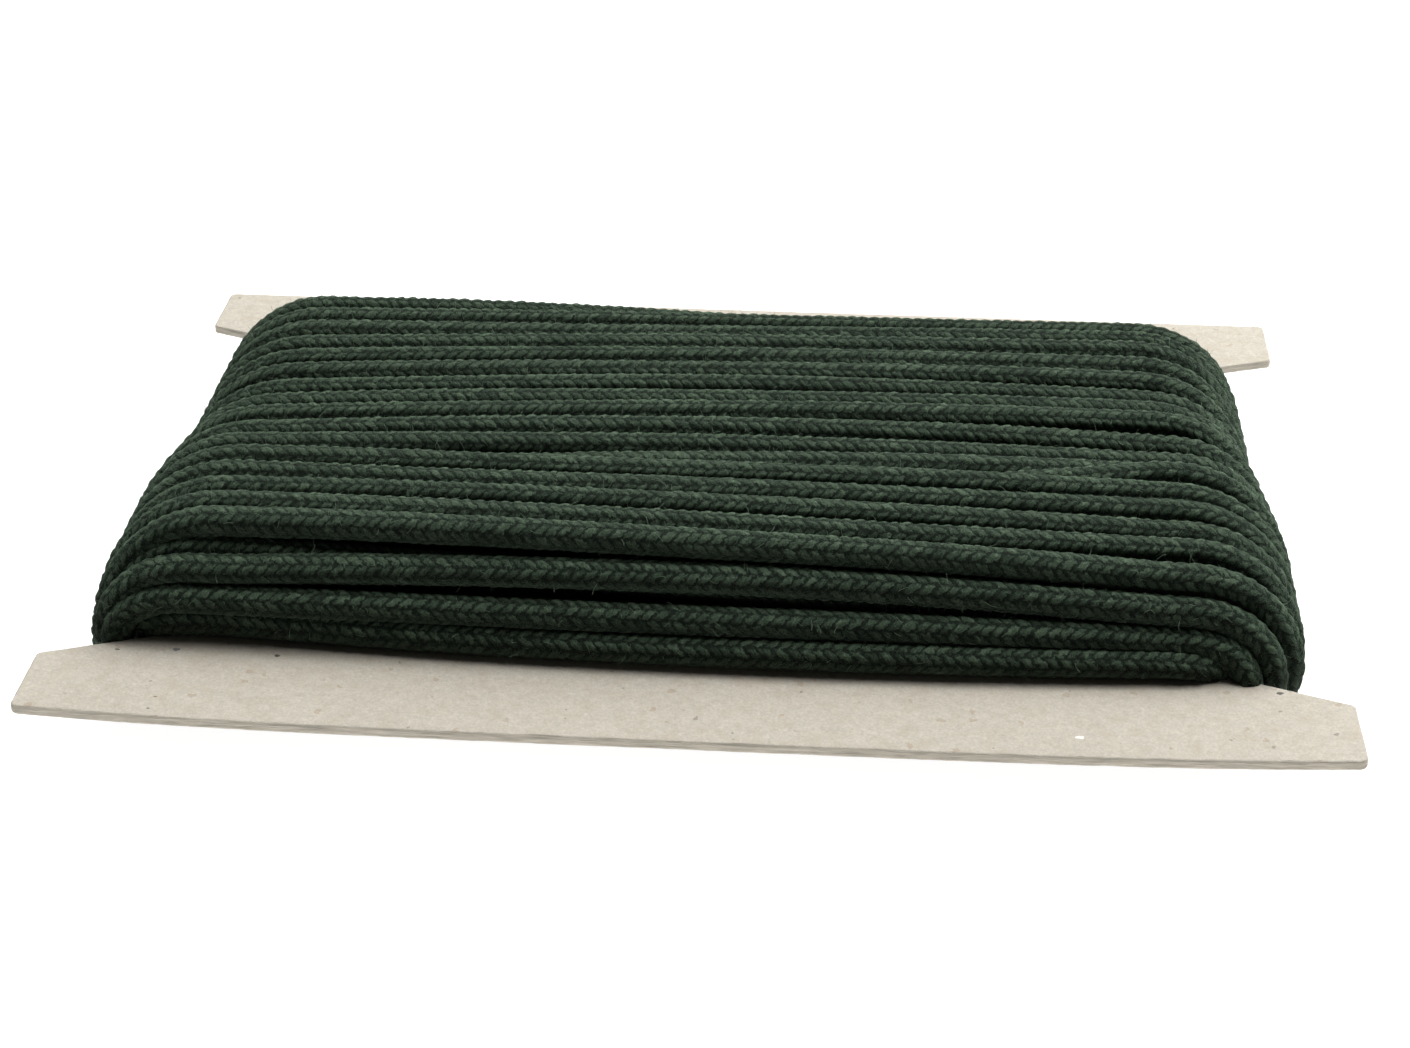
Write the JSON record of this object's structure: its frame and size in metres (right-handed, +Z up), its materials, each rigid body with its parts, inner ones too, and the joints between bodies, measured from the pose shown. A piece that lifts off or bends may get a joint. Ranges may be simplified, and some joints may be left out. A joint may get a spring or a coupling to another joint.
{
  "type": "piping cord wound on an h-shaped card",
  "caption": "Round braided piping cord wound in many side-by-side turns round the waist of an H-shaped greyboard card, which keeps and sells it, lying flat.",
  "frame": {"origin": "centre of the bounding box's underside, on the surface that the wound cord lies on", "axes": "+X along the card's length and along the visible runs of the cord, +Y across the turns to the card's far flange, +Z up through the card's thickness"},
  "size_m": [0.2, 0.15, 0.0373],
  "materials": {
    "greyboard": "uncoated grey-beige board with flecks, cut edges showing its layers",
    "green_cord": "matt dark-green braided cotton cord, slightly fuzzy"
  },
  "bodies": {
    "root": {"card": "greyboard", "winding": "green_cord"}
  },
  "joints": []
}
